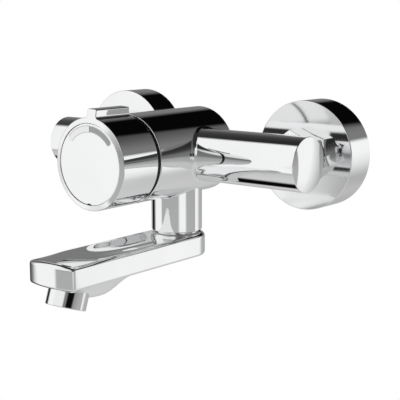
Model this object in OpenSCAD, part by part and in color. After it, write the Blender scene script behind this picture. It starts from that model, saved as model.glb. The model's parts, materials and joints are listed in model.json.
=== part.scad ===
// Wall-mounted mixer tap with a push-to-run timed valve, a temperature lever and a swivel spout.
// Millimetres. Origin: midpoint of the two wall inlets on the wall face.
// +X to the right, +Y into the wall, +Z up. The tap axis lies union_offset above the origin.

/* [Wall connection] */

// distance between the two wall inlets
inlet_spacing = 150; // [144:1:156]
// height of the tap axis above the wall inlets
union_offset = 6; // [3:0.5:8]
// outer diameter of the half inch wall thread
wall_thread_d = 20.96; // [20:0.02:21.5]
// length of thread behind the wall face
wall_thread_length = 18; // [14:1:26]
// outer diameter of the three quarter inch union thread
union_thread_d = 26; // [25.6:0.1:26.6]
// width of the hexagonal union nut across its flats
union_nut_flats = 30; // [29:0.5:34]
// outer diameter of a wall flange
flange_d = 68.2; // [64:0.2:74]
// depth of a wall flange
flange_depth = 22.2; // [20.8:0.2:23]

/* [Body] */

// diameter of the barrel and of the handle
body_d = 55; // [54.6:0.1:58]
// distance from the wall to the front of the barrel
body_front = 102.2; // [101:0.1:108]
// distance from the wall to the back of the barrel
body_back = 30.5; // [28:0.5:34]
// diameter of the two arms
arm_d = 33; // [32:0.5:35]
// distance from the wall to the axis of arms and neck
arm_depth = 56; // [55.5:0.5:58]
// reach of an arm's end past its inlet
arm_overhang = 25; // [22:0.2:28]
// height of the dome on an arm's end
arm_dome = 1.5; // [0.8:0.1:2.5]
// diameter of the spout neck
neck_d = 32.8; // [31:0.2:35]

/* [Handle] */

// distance from the wall to the front edge of the handle
handle_front = 135; // [134:0.2:140]
// travel of the push handle
push_travel = 2; // [1.5:0.1:2.5]
// rest turn of the lever from the middle of the scale, clockwise from the front, degrees
rest_turn = 3.5; // [-10:0.5:10]
// turn of the lever to each side of the middle, degrees
lever_turn = 45; // [35:1:50]
// diameter of the cover cap
cap_d = 48; // [47:0.1:48.4]
// depth of the cover cap's face behind the front edge of the handle
cap_sink = 0.4; // [0.1:0.05:0.8]
// width of the lever at its tip
lever_w = 7; // [5:0.1:9]
// lean of each side of the lever, degrees
lever_draft = 3; // [1:0.5:6]
// height of the lever above the handle
lever_h = 4.9; // [3:0.1:8]
// rest turn of the cover cap from upright, clockwise from the front, degrees
cap_turn = 1.5; // [-10:0.5:10]
// half angle of the temperature scale, degrees
scale_half = 46; // [40:1:60]

/* [Spout] */

// distance from the tap axis down to the top of the spout
spout_drop = 52.5; // [51:0.5:58]
// width of the spout
spout_w = 36.6; // [35:0.2:40]
// thickness of the spout plate
spout_t = 14.4; // [13:0.1:15.5]
// distance from the wall to the middle of the spout's front
spout_reach = 170.2; // [162:0.2:184]
// radius of the bowed front of the spout
front_bow = 54; // [46:1:90]
// depth of the dish in the top of the spout
dish_depth = 2.5; // [1.5:0.1:2.8]
// depth of the belly below the spout plate
belly_depth = 12; // [11:0.1:12.5]
// radius of the belly along the spout
belly_r = 34; // [33:0.5:38]
// tilt of the outlet from straight down, degrees
outlet_tilt = 19; // [15:1:22]
// outer diameter of the outlet collar
outlet_d = 24; // [23.6:0.1:25]
// swivel of the spout to each side, degrees
swivel = 60; // [40:1:80]

/* [Cartridge] */

// bore of the body for the cartridge
cartridge_d = 39; // [38.6:0.1:39.6]
// diameter of the push rod
rod_d = 5; // [4.6:0.1:5.2]
// bore of the timing chamber
chamber_d = 15; // [14.6:0.1:15.2]
// thickness of each ceramic disc
disc_t = 3; // [2.5:0.1:3.5]
// bore of the non-return valve seats
check_seat_d = 9; // [8:0.2:9.6]
// travel of the non-return valve poppets
check_travel = 2; // [1.5:0.1:2.2]

/* [Clearances] */

// radial gap of a running fit
run_gap = 0.08; // [0.05:0.01:0.1]
// radial gap of a screwed or pushed-in fit
seat_gap = 0.05; // [0.03:0.01:0.08]

/* [Hidden] */

$fn = 96;

chrome = [0.82, 0.83, 0.85];
brass = [0.78, 0.64, 0.34];
steel = [0.65, 0.66, 0.68];
black = [0.08, 0.08, 0.09];
grey = [0.55, 0.56, 0.58];
white = [0.92, 0.92, 0.90];
red = [0.70, 0.12, 0.10];

body_r = body_d / 2;
arm_r = arm_d / 2;
neck_r = neck_d / 2;
inlet_x = inlet_spacing / 2;
arm_reach = inlet_x + arm_overhang;

// wall side: all of these are distances from the wall
boss_face = arm_depth - arm_r - 3.4;
boss_r = 13.5;
union_r = union_thread_d / 2;
nut_flat_r = union_nut_flats / 2;
nut_corner_r = nut_flat_r / cos(30);
nut_turn = 20;
nut_front = boss_face - 0.4;
nut_lip = nut_front - 2;
collar_front = nut_lip - 0.1;
collar_back = collar_front - 2.8;
washer_back = collar_back - 2;
washer_r = union_r - 0.8;
washer_bore = 7;
nut_back = flange_depth + 0.6;
nipple_r = 10.45;
check_r = 8.4;
wall_r = wall_thread_d / 2;

// cartridge, from the back to the front
bore_r = cartridge_d / 2;
block_back = arm_depth - 13;
block_front = arm_depth + 12;
seat_depth = block_front - 4;
fixed_front = block_front + disc_t;
mixing_front = fixed_front + disc_t;
driver_front = mixing_front + 4;
cavity_front = driver_front + 0.4;
gland_back = body_front - 11.3;
gland_step = body_front + 1.5;
gland_front = gland_step + 2.5;
bush_front = body_front + 10;
limit_back = gland_front + 0.4;
limit_front = limit_back + 2.4;
hub_back = limit_front + push_travel + 0.5;
web_back = bush_front + push_travel + 0.7;
web_front = web_back + 4;
hub_front = web_front + 3;
hex_front = web_front - push_travel - 0.5;
handle_gap = push_travel + 0.8;
handle_back = body_front + handle_gap;
ring_edge = handle_front - 0.6;
cap_front = handle_front - cap_sink;
cap_back = cap_front - 2.8;
lever_back = handle_back + 0.8;
rod_r = rod_d / 2;
chamber_r = chamber_d / 2;
port_x = 12;
port_r = 3.2;
seat_r = 4.2;
tube_r = 9;
mixing_recess_r = 9.2;
housing_floor = 4;
housing_core_r = tube_r + 3;
hex_flats = 14;
sleeve_bore = body_r - 2.5;
bush_r = sleeve_bore - run_gap;
hub_r = 12;
poppet_front = seat_depth - 0.05;
poppet_back = poppet_front - 4;
piston_front = poppet_back - 3;
piston_back = piston_front - 4;
cover_front = block_back + 3;
stop_angle = lever_turn + 15;
disc_pin_r = 1.2;
disc_pin_z = bore_r - 4.5;
// unequal places, so that disc and driver go together one way round only
driver_peg_r = 1.5;
driver_pegs = [0.2 - disc_pin_z, disc_pin_z + 0.2];
limit_r = bore_r - 4.5;
lug_tip = bore_r + 1.5;
lug_w = 6;
stop_pin_z = bore_r - 0.5;

// spout
spout_half = spout_w / 2;
spout_corner = 2.6;
front_angle = asin((spout_half - spout_corner) / (front_bow - spout_corner));
corner_y = front_bow - spout_reach - (front_bow - spout_corner) * cos(front_angle);
spout_top = -spout_drop;
spout_bottom = spout_top - spout_t;
neck_end = spout_top + 0.5;
neck_chamfer = 2;
stem_bore = 10.5;
stem_r = stem_bore - run_gap;
stem_top = -26;
neck_top = -24;
groove_z = spout_top + 7;
outlet_r = outlet_d / 2;
thread_r = outlet_r - 1.1;
outlet_y = -spout_reach + 13.9;
outlet_z = spout_bottom - 14;
collar_length = 12;
collar_top = collar_length + 4.5;
insert_top = collar_length + 2;
insert_r = outlet_r - 2.5;
insert_foot = 1;
outlet_seal_t = 1.6;
sieve_t = 2;
sieve_hole_r = 0.8;
jet_r = insert_r - 1.5;
channel_top = spout_top - dish_depth - 2.5;
channel_bottom = spout_bottom + 2;
belly_y = -spout_reach + 36;
belly_z = spout_bottom - belly_depth + belly_r;
belly_half = spout_half - 0.4;
belly_cross = (belly_half * belly_half + belly_depth * belly_depth) / (2 * belly_depth);
dish_length = 900;
dish_cross = 54;
dish_y = -arm_depth - 21;

// springs
return_turns = 4;
return_wire = 0.45;
return_length = piston_back - cover_front - 0.1;
check_turns = 3.5;
check_wire = 0.3;
check_seat_y = collar_back + 1.6;
check_head_y = check_seat_y + 1.6;
check_hub_y = check_head_y + check_travel + 3.3;
check_length = check_hub_y - check_head_y - 0.2;
echo(return_spring_gap = (return_length - 2 * return_wire) / return_turns - 2 * return_wire);
echo(check_spring_gap = (check_length - 2 * check_wire) / check_turns - 2 * check_wire);

// helpers
module tap_frame() {
    translate([0, 0, union_offset])
        children();
}

// a round bar along Y between two distances from the wall
module bar(from, to, r) {
    translate([0, -to, 0])
        rotate([-90, 0, 0])
            cylinder(h = to - from, r = r);
}

// a hexagonal bar along Y between two distances from the wall
module hex_bar(from, to, flats) {
    translate([0, -to, 0])
        rotate([-90, 0, 0])
            cylinder(h = to - from, r = flats / 2 / cos(30), $fn = 6);
}

// a turned shape about Y from points of radius and distance from the wall
module turned(points) {
    rotate([90, 0, 0])
        rotate_extrude()
            polygon(points);
}

// an O-ring about Y at a distance from the wall
module ring_seal(depth, major, minor) {
    translate([0, -depth, 0])
        rotate([90, 0, 0])
            rotate_extrude()
                translate([major, 0])
                    circle(minor, $fn = 24);
}

// a coil spring along Z: one unbroken tube of six sides, eight rings to a turn
module coil(length, mean_r, wire_r, turns) {
    rings = ceil(turns * 8);
    rise = (length - 2 * wire_r) / rings;
    points = [
        for (i = [0 : rings], k = [0 : 5])
            let (a = i * 45, b = k * 60, r = mean_r + wire_r * cos(b))
                [r * cos(a), r * sin(a), wire_r + i * rise + wire_r * sin(b)]
    ];
    sides = [
        for (i = [0 : rings - 1], k = [0 : 5])
            let (n = (k + 1) % 6)
                [i * 6 + k, i * 6 + n, (i + 1) * 6 + n, (i + 1) * 6 + k]
    ];
    polyhedron(points, concat([[5, 4, 3, 2, 1, 0]], sides, [[for (k = [0 : 5]) rings * 6 + k]]));
}

module at_inlet(side) {
    translate([side * inlet_x, 0, 0])
        children();
}

module at_neck() {
    translate([0, -arm_depth, 0])
        children();
}

module at_outlet() {
    translate([0, outlet_y, outlet_z])
        rotate([-outlet_tilt, 0, 0])
            children();
}

module at_rest() {
    rotate([0, rest_turn, 0])
        children();
}

module at_cap() {
    rotate([0, cap_turn, 0])
        children();
}

// body and wall connection
// both arms in one turned bar along X, with shallow domes on the ends
module arm_form() {
    rings = 6;
    dome = [
        for (i = [0 : rings])
            let (k = 1 - i / rings)
                [arm_r * k, arm_reach + arm_dome * (1 - k * k)]
    ];
    far_dome = [for (i = [0 : rings]) [dome[rings - i][0], -dome[rings - i][1]]];
    translate([0, -arm_depth, 0])
        rotate([0, 90, 0])
            rotate_extrude()
                polygon(concat(dome, far_dome));
}

module barrel_form() {
    turned([
        [0, body_back], [body_r - 1, body_back], [body_r, body_back + 1],
        [body_r, body_front - 0.4], [body_r - 0.4, body_front], [0, body_front]
    ]);
}

module body_casting() {
    color(chrome)
        difference() {
            union() {
                barrel_form();
                arm_form();
                for (side = [-1, 1])
                    at_inlet(side)
                        bar(boss_face, arm_depth, boss_r);
                at_neck()
                    translate([0, 0, neck_end])
                        union() {
                            cylinder(h = neck_chamfer, r1 = neck_r - neck_chamfer, r2 = neck_r);
                            translate([0, 0, neck_chamfer])
                                cylinder(h = -neck_end - neck_chamfer, r = neck_r);
                        }
            }
            bar(block_back, body_front + 1, bore_r);
            bar(gland_back, body_front + 1, bore_r + 1.5);
            translate([-arm_reach + 8, -arm_depth, 0])
                rotate([0, 90, 0])
                    cylinder(h = 2 * arm_reach - 16, r = 9);
            for (side = [-1, 1])
                at_inlet(side)
                    bar(boss_face - 1, arm_depth, nipple_r + seat_gap);
            at_neck()
                translate([0, 0, neck_end - 1])
                    cylinder(h = neck_top - neck_end + 1, r = stem_bore);
            at_neck()
                translate([0, 0, neck_top - 1])
                    cylinder(h = 10, r = 6);
            translate([0, 0, groove_z])
                bar(arm_depth - neck_r - 2, arm_depth, 2 + seat_gap);
        }
}

module inlet_nipple(side) {
    color(brass)
        at_inlet(side)
            turned([
                [check_r + seat_gap, collar_back], [12.4, collar_back], [12.4, collar_front],
                [nipple_r, collar_front], [nipple_r, boss_face + 9], [7, boss_face + 9],
                [7, check_hub_y + 2.1], [check_r + seat_gap, check_hub_y + 2.1]
            ]);
}

// a hexagon with its corners turned off at both ends
module union_nut(side) {
    face_r = nut_flat_r - 0.25;
    rim_r = nut_corner_r + 0.1;
    edge = (rim_r - face_r) * tan(30);
    color(chrome)
        at_inlet(side)
            difference() {
                intersection() {
                    rotate([0, nut_turn, 0])
                        hex_bar(nut_back, nut_front, union_nut_flats);
                    turned([
                        [0, nut_back], [face_r, nut_back], [rim_r, nut_back + edge],
                        [rim_r, nut_front - edge], [face_r, nut_front], [0, nut_front]
                    ]);
                }
                bar(nut_back - 1, nut_lip, union_r + seat_gap);
                bar(nut_lip - 1, nut_front + 1, nipple_r + 0.25);
            }
}

module union_washers() {
    color(black)
        for (side = [-1, 1])
            at_inlet(side)
                difference() {
                    bar(washer_back, collar_back, washer_r);
                    bar(washer_back - 1, collar_back + 1, washer_bore);
                }
}

module s_union(side) {
    color(brass)
        at_inlet(side)
            difference() {
                union() {
                    bar(10, washer_back, union_r);
                    translate([0, 0, -union_offset * 0.6])
                        bar(6, 14, 13.5);
                    translate([0, 0, -union_offset])
                        bar(-wall_thread_length, 8, wall_r);
                }
                bar(12, washer_back + 1, 8);
                translate([0, 0, -union_offset])
                    bar(-wall_thread_length - 1, 13, 7);
            }
}

module wall_flange(side) {
    r = flange_d / 2;
    color(chrome)
        at_inlet(side)
            turned([
                [r - 1.5, 0], [r, 0], [r, flange_depth - 0.5], [r - 0.5, flange_depth],
                [union_r + 0.25, flange_depth], [union_r + 0.25, flange_depth - 2],
                [r - 1.5, flange_depth - 2]
            ]);
}

module check_cage(side) {
    color(white)
        at_inlet(side)
            difference() {
                bar(collar_back, check_hub_y + 2, check_r);
                bar(collar_back - 1, check_seat_y + 1, check_seat_d / 2);
                bar(check_seat_y, check_hub_y, 6.6);
                bar(check_hub_y - 1, check_hub_y + 3, 1 + run_gap);
                for (turn = [0 : 120 : 240])
                    rotate([0, turn, 0])
                        translate([0, 0, 4.4])
                            bar(check_hub_y - 1, check_hub_y + 3, 1.7);
            }
}

module check_poppet(side) {
    color(grey)
        at_inlet(side)
            union() {
                bar(check_seat_y + 0.05, check_head_y, 5.8);
                bar(check_head_y, check_hub_y + 1.5, 1);
            }
}

module check_spring(side) {
    color(steel)
        at_inlet(side)
            translate([0, -check_head_y - 0.1, 0])
                rotate([90, 0, 0])
                    coil(check_length, 2.6, check_wire, check_turns);
}

// cartridge
module saddle(inner, outer, from, to) {
    intersection() {
        translate([0, -arm_depth, 0])
            rotate([0, 90, 0])
                difference() {
                    cylinder(h = to + 2, r = outer);
                    translate([0, 0, -1])
                        cylinder(h = to + 4, r = inner);
                }
        difference() {
            bar(block_back, block_front, to);
            bar(block_back - 1, block_front + 1, from);
        }
    }
}

module seal_groove(depth, major, minor) {
    difference() {
        bar(depth - minor - 0.1, depth + minor + 0.1, bore_r + 2);
        bar(depth - minor - 1, depth + minor + 1, major - minor - 0.05);
    }
}

module port_block() {
    color(grey)
        difference() {
            union() {
                bar(block_back + 0.05, block_front, bore_r - run_gap);
                for (z = [-disc_pin_z, disc_pin_z])
                    translate([0, 0, z])
                        bar(block_front - 1, block_front + 1.6, disc_pin_r);
            }
            bar(block_back, seat_depth, chamber_r);
            bar(block_back - 1, cover_front, chamber_r + 1);
            bar(seat_depth - 1, block_front + 1, seat_r);
            for (side = [-1, 1]) {
                translate([side * port_x, 0, 0])
                    bar(arm_depth, block_front + 1, port_r);
                translate([side > 0 ? 9.6 : -bore_r - 1, -arm_depth, 0])
                    rotate([0, 90, 0])
                        cylinder(h = bore_r + 1 - 9.6, r = 4.5);
                mirror([side > 0 ? 0 : 1, 0, 0])
                    saddle(5.1, 6.7, bore_r - 1.6, bore_r + 1);
            }
            translate([0, -seat_depth + 2.9, -bore_r - 1])
                cylinder(h = bore_r - 3, r = 2.8);
            seal_groove(block_back + 2.6, bore_r - 0.95, 0.9);
            seal_groove(block_front - 2, bore_r - 0.95, 0.9);
            for (x = [-port_x, port_x])
                translate([x, 0, 0])
                    difference() {
                        bar(block_front - 1.25, block_front + 1, 4.95);
                        bar(block_front - 2, block_front + 2, 3.65);
                    }
            difference() {
                bar(block_front - 1.25, block_front + 1, 5.85);
                bar(block_front - 2, block_front + 2, 4.55);
            }
        }
}

module block_seals() {
    color(black)
        for (depth = [block_back + 2.6, block_front - 2])
            ring_seal(depth, bore_r - 0.95, 0.9);
}

module port_seals() {
    color(black)
        for (side = [0, 1])
            mirror([side, 0, 0])
                saddle(5.15, 6.65, bore_r - 1.55, bore_r - 0.02);
}

module disc_seals() {
    color(black)
        union() {
            for (x = [-port_x, port_x])
                translate([x, 0, 0])
                    ring_seal(block_front - 0.62, 4.3, 0.6);
            ring_seal(block_front - 0.62, 5.2, 0.6);
        }
}

module fixed_disc() {
    color(white)
        difference() {
            bar(block_front, fixed_front, bore_r - 1.1);
            bar(block_front - 1, fixed_front + 1, seat_r);
            for (x = [-port_x, port_x])
                translate([x, 0, 0])
                    bar(block_front - 1, fixed_front + 1, port_r);
            for (z = [-disc_pin_z, disc_pin_z])
                translate([0, 0, z])
                    bar(block_front - 1, block_front + 1.7, disc_pin_r + seat_gap);
        }
}

module mixing_disc() {
    color(white)
        at_rest()
            difference() {
                bar(fixed_front, mixing_front, bore_r - 2);
                bar(fixed_front - 1, mixing_front + 1, rod_r + 0.4);
                translate([0, 0, 5])
                    bar(fixed_front - 1, mixing_front - 1.4, mixing_recess_r);
                for (z = driver_pegs)
                    translate([0, 0, z])
                        bar(mixing_front - 1.1, mixing_front + 1, driver_peg_r + seat_gap);
            }
}

module cartridge_housing() {
    color(grey)
        difference() {
            bar(block_front, gland_back, bore_r - run_gap);
            bar(block_front - 1, cavity_front, bore_r - 1);
            bar(cavity_front - 1, gland_back + 1, tube_r + run_gap);
            difference() {
                bar(cavity_front + housing_floor, gland_back + 1, bore_r - 2.5);
                bar(cavity_front, gland_back + 2, housing_core_r);
            }
        }
}

module gland_nut() {
    color(brass)
        union() {
            difference() {
                union() {
                    bar(gland_back, gland_step, bore_r + 1.5 - seat_gap);
                    bar(gland_step, gland_front, sleeve_bore - 2);
                }
                bar(gland_back - 1, gland_front + 1, tube_r + 0.6);
                for (turn = [45 : 90 : 315])
                    rotate([0, turn, 0])
                        translate([-1.5, -gland_front - 1, sleeve_bore - 5])
                            cube([3, 3, 6]);
            }
            for (turn = [180 - stop_angle, 180 + stop_angle])
                rotate([0, turn, 0])
                    translate([0, 0, stop_pin_z])
                        bar(gland_front - 0.5, limit_front - 0.2, 1.4);
        }
}

module guide_bush() {
    color(black)
        turned([
            [bore_r + 1.6, body_front], [bush_r, body_front], [bush_r, bush_front],
            [bush_r - 1.7, bush_front], [bush_r - 1.7, gland_step], [bore_r + 1.6, gland_step]
        ]);
}

module limit_ring() {
    color(red)
        at_rest()
            difference() {
                union() {
                    bar(limit_back, limit_front, limit_r);
                    translate([-lug_w / 2, -limit_front, -lug_tip])
                        cube([lug_w, limit_front - limit_back, lug_tip - limit_r + 4]);
                }
                hex_bar(limit_back - 1, limit_front + 1, hex_flats + 2 * seat_gap);
            }
}

module mixing_driver() {
    seal_depth = gland_back - 6;
    rod_seal_depth = gland_front - 6;
    color(white)
        at_rest()
            difference() {
                union() {
                    bar(mixing_front, driver_front, bore_r - 2);
                    bar(mixing_front, gland_front + 0.2, tube_r);
                    hex_bar(gland_front, hex_front, hex_flats);
                    for (z = driver_pegs)
                        translate([0, 0, z])
                            bar(mixing_front - 1, mixing_front + 1, driver_peg_r);
                }
                bar(mixing_front - 1, hex_front + 1, rod_r + run_gap);
                bar(rod_seal_depth - 0.85, rod_seal_depth + 0.85, rod_r + 1.75);
                difference() {
                    bar(seal_depth - 0.85, seal_depth + 0.85, tube_r + 2);
                    bar(seal_depth - 2, seal_depth + 2, tube_r - 1.6);
                }
            }
}

module driver_seal() {
    color(black)
        ring_seal(gland_back - 6, tube_r - 0.76, 0.78);
}

module rod_seal() {
    color(black)
        ring_seal(gland_front - 6, rod_r + 0.88, 0.8);
}

module timing_cover() {
    color(brass)
        union() {
            bar(block_back + 0.1, cover_front - 0.05, chamber_r + 1 - seat_gap);
            bar(cover_front - 0.1, cover_front + 1.5, 3.2);
        }
}

module return_spring() {
    color(steel)
        translate([0, -cover_front - 0.05, 0])
            rotate([90, 0, 0])
                coil(return_length, 5, return_wire, return_turns);
}

// push handle
module lever_section() {
    foot = 1.8;
    chamfer = 0.5;
    half = lever_w / 2;
    top = body_r + lever_h;
    start = sleeve_bore + 1;
    lean = tan(lever_draft);
    flank = half * cos(lever_draft) + top * sin(lever_draft);
    // the foot round dips a little into the barrel
    along = sqrt(pow(body_r + foot - 0.15, 2) - pow(flank + foot, 2));
    foot_x = (flank + foot) * cos(lever_draft) - along * sin(lever_draft);
    foot_z = (flank + foot) * sin(lever_draft) + along * cos(lever_draft);
    polygon([
        [-half - (top - start) * lean, start], [half + (top - start) * lean, start],
        [half + chamfer * lean, top - chamfer], [half - chamfer, top],
        [chamfer - half, top], [-half - chamfer * lean, top - chamfer]
    ]);
    for (side = [-1, 1])
        difference() {
            polygon([
                [side * half, start], [side * foot_x, start], [side * foot_x, foot_z - foot / 2],
                [side * (foot_x - foot * cos(lever_draft)), foot_z - foot * sin(lever_draft)],
                [side * half, foot_z - foot * sin(lever_draft)]
            ]);
            translate([side * foot_x, foot_z])
                circle(foot);
        }
}

module handle_sleeve() {
    color(chrome)
        at_rest()
            difference() {
                union() {
                    turned([
                        [sleeve_bore, handle_back], [body_r - 0.4, handle_back],
                        [body_r, handle_back + 0.4], [body_r, ring_edge - 0.3],
                        [body_r - 0.3, ring_edge], [cap_d / 2 + 0.6, handle_front],
                        [cap_d / 2 + 0.3, handle_front - 0.3], [cap_d / 2 + 0.3, cap_back],
                        [cap_d / 2 - 1, cap_back], [cap_d / 2 - 1, web_front],
                        [hub_r - 1, web_front], [hub_r - 1, web_back], [sleeve_bore, web_back]
                    ]);
                    bar(hub_back, hub_front, hub_r);
                    translate([0, -lever_back, 0])
                        rotate([90, 0, 0])
                            linear_extrude(ring_edge - lever_back - 0.1)
                                lever_section();
                }
                hex_bar(hub_back - 1, web_front, hex_flats + 2 * run_gap);
                bar(hub_back, hub_front + 1, 2.1);
            }
}

module scale_band(from, to, grow, depth) {
    rotate([90, 0, 0])
        translate([0, 0, cap_front - depth])
            linear_extrude(depth)
                difference() {
                    intersection() {
                        circle(22.8 + grow);
                        polygon([
                            [0, 0], [60 * sin(from), 60 * cos(from)],
                            [60 * sin((from + to) / 2), 60 * cos((from + to) / 2)],
                            [60 * sin(to), 60 * cos(to)]
                        ]);
                    }
                    circle(18.8 - grow);
                }
}

module scale_end(angle, grow, depth) {
    translate([20.8 * sin(angle), 0, 20.8 * cos(angle)])
        bar(cap_front - depth, cap_front, 2 + grow);
}

module cover_cap() {
    r = cap_d / 2;
    color(chrome)
        at_cap()
            difference() {
                turned([
                    [0, cap_back], [r - 2.6, cap_back], [r - 2.6, cap_back - 4.5],
                    [r - 1.05, cap_back - 4.5], [r - 1.05, cap_back], [r, cap_back],
                    [r, cap_front - 0.25], [r - 0.25, cap_front], [0, cap_front]
                ]);
                scale_band(-scale_half, 0, 0, 0.6);
                scale_band(0, scale_half, 0, 0.6);
                scale_end(-scale_half, 0, 0.6);
                scale_end(scale_half, 0, 0.6);
                translate([-1.5, -cap_front - 1, -r - 1])
                    cube([3, 3, 1.9]);
            }
}

module hot_mark() {
    color(red)
        at_cap()
            union() {
                scale_band(-scale_half, -0.4, -0.03, 0.58);
                scale_end(-scale_half, -0.03, 0.58);
            }
}

module cold_mark() {
    color(grey)
        at_cap()
            union() {
                scale_band(0.4, scale_half, -0.03, 0.58);
                scale_end(scale_half, -0.03, 0.58);
            }
}

module handle_screw() {
    color(steel)
        difference() {
            union() {
                bar(hub_front, hub_front + 3, 3.8);
                bar(web_front - 9, hub_front + 1, 2);
            }
            hex_bar(hub_front + 1, hub_front + 4, 3);
        }
}

module push_rod() {
    color(steel)
        difference() {
            bar(piston_front + 0.4, web_front, rod_r);
            bar(web_front - 10, web_front + 1, 2 + 0.02);
        }
}

module valve_poppet() {
    color(brass)
        difference() {
            union() {
                bar(poppet_back, poppet_front - 1.3, chamber_r - 1.2);
                bar(piston_front - 0.1, poppet_front, 4);
                bar(piston_back, piston_front, chamber_r - 0.6);
            }
            difference() {
                bar(piston_back + 1, piston_front - 1, chamber_r + 1);
                bar(piston_back, piston_front, chamber_r - 2);
            }
            bar(piston_front + 0.3, poppet_front + 1, rod_r + 0.03);
        }
}

module poppet_seal() {
    color(black)
        difference() {
            bar(poppet_front - 1.3, poppet_front, chamber_r - 1.4);
            bar(poppet_front - 2, poppet_front + 1, 4.02);
        }
}

module piston_seal() {
    color(black)
        difference() {
            bar(piston_back + 1.05, piston_front - 1.05, chamber_r - run_gap);
            bar(piston_back, piston_front, chamber_r - 1.95);
        }
}

// spout
module spout_plan() {
    front_half = front_bow * sin(front_angle);
    translate([-spout_half, corner_y])
        square([spout_w, -arm_depth - corner_y]);
    intersection() {
        translate([-front_half, -spout_reach - 1])
            square([2 * front_half, corner_y + spout_reach + 2]);
        translate([0, front_bow - spout_reach])
            circle(front_bow);
    }
    translate([0, -arm_depth])
        circle(spout_half);
    for (side = [-1, 1])
        translate([side * (spout_half - spout_corner), corner_y])
            circle(spout_corner);
}

// a shallow trough on a large arc, from the neck to where it runs out
module spout_dish() {
    ahead = acos(1 - dish_depth / dish_length) + 1;
    behind = asin((-arm_depth - dish_y) / dish_length);
    translate([0, dish_y, spout_top - dish_depth + dish_length])
        rotate([0, 90, 0])
            rotate([0, 0, -ahead])
                rotate_extrude(angle = ahead + behind, $fn = 1440)
                    translate([dish_length - dish_cross, 0])
                        circle(dish_cross, $fn = 96);
}

module spout_body() {
    color(chrome)
        difference() {
            union() {
                difference() {
                    translate([0, 0, spout_bottom])
                        linear_extrude(spout_t)
                            spout_plan();
                    spout_dish();
                }
                at_neck()
                    translate([0, 0, spout_bottom + 2])
                        cylinder(h = spout_t - 2, r = neck_r);
                intersection() {
                    translate([0, 0, spout_bottom - 20])
                        linear_extrude(25)
                            spout_plan();
                    translate([0, belly_y, belly_z])
                        sphere(belly_r);
                    translate([0, 0, spout_bottom - belly_depth + belly_cross])
                        bar(arm_depth, spout_reach + 1, belly_cross);
                }
            }
            at_neck()
                translate([0, 0, spout_top - 8.5])
                    cylinder(h = 10, r = stem_r + 0.03);
            translate([-8, outlet_y + 4, channel_bottom])
                cube([16, -outlet_y - 4 - arm_depth, channel_top - channel_bottom]);
            at_outlet() {
                translate([0, 0, -10])
                    cylinder(h = collar_length + 10.05, r = outlet_r + 0.1);
                cylinder(h = collar_top + outlet_seal_t + 0.1, r = thread_r + seat_gap);
                cylinder(h = collar_top + 3.5, r = jet_r);
            }
        }
}

module spout_stem() {
    seal_major = stem_r - 0.83;
    color(brass)
        at_neck()
            difference() {
                translate([0, 0, spout_top - 8.5])
                    cylinder(h = stem_top - spout_top + 8.5, r = stem_r);
                translate([0, 0, spout_top - 9.5])
                    cylinder(h = stem_top - spout_top + 12, r = 7);
                for (z = [stem_top - 5, stem_top - 11])
                    translate([0, 0, z - 0.95])
                        difference() {
                            cylinder(h = 1.9, r = stem_r + 2);
                            translate([0, 0, -1])
                                cylinder(h = 4, r = seal_major - 0.9);
                        }
                translate([0, 0, groove_z - 1.9])
                    rotate([0, 0, 90 - swivel - 13])
                        rotate_extrude(angle = 2 * swivel + 26)
                            translate([8.7, 0])
                                square([4, 3.8]);
            }
}

module stem_seals() {
    color(black)
        at_neck()
            for (z = [stem_top - 5, stem_top - 11])
                translate([0, 0, z])
                    rotate_extrude()
                        translate([stem_r - 0.83, 0])
                            circle(0.85, $fn = 24);
}

module slide_washer() {
    color(white)
        at_neck()
            translate([0, 0, spout_top])
                difference() {
                    cylinder(h = neck_end - spout_top - 0.02, r = neck_r - neck_chamfer - 0.2);
                    translate([0, 0, -1])
                        cylinder(h = 3, r = stem_r + 0.1);
                }
}

module spout_screw() {
    color(steel)
        translate([0, 0, groove_z])
            difference() {
                union() {
                    bar(arm_depth - neck_r + 0.6, arm_depth - stem_bore, 2);
                    bar(arm_depth - stem_bore - 0.5, arm_depth - 9, 1.5);
                }
                hex_bar(arm_depth - neck_r, arm_depth - neck_r + 2.6, 2);
            }
}

module aerator_housing() {
    color(chrome)
        at_outlet()
            rotate_extrude()
                polygon([
                    [insert_r, 0.4], [insert_r + 0.4, 0], [outlet_r - 0.4, 0], [outlet_r, 0.4],
                    [outlet_r, collar_length], [thread_r, collar_length], [thread_r, collar_top],
                    [jet_r + 0.4, collar_top], [jet_r + 0.4, insert_top], [insert_r, insert_top]
                ]);
}

module aerator_insert() {
    color(grey)
        at_outlet()
            difference() {
                translate([0, 0, insert_foot])
                    cylinder(h = insert_top - insert_foot - seat_gap, r = insert_r - seat_gap);
                translate([0, 0, insert_foot + sieve_t])
                    cylinder(h = insert_top, r = jet_r);
                cylinder(h = insert_foot + sieve_t + 1, r = sieve_hole_r);
                for (k = [0 : 5])
                    rotate([0, 0, k * 60])
                        translate([3, 0, 0])
                            cylinder(h = insert_foot + sieve_t + 1, r = sieve_hole_r);
                for (k = [0 : 11])
                    rotate([0, 0, k * 30])
                        translate([6, 0, 0])
                            cylinder(h = insert_foot + sieve_t + 1, r = sieve_hole_r);
            }
}

module aerator_seal() {
    color(black)
        at_outlet()
            translate([0, 0, collar_top])
                difference() {
                    cylinder(h = outlet_seal_t, r = thread_r);
                    translate([0, 0, -1])
                        cylinder(h = outlet_seal_t + 2, r = jet_r + 0.2);
                }
}

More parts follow.
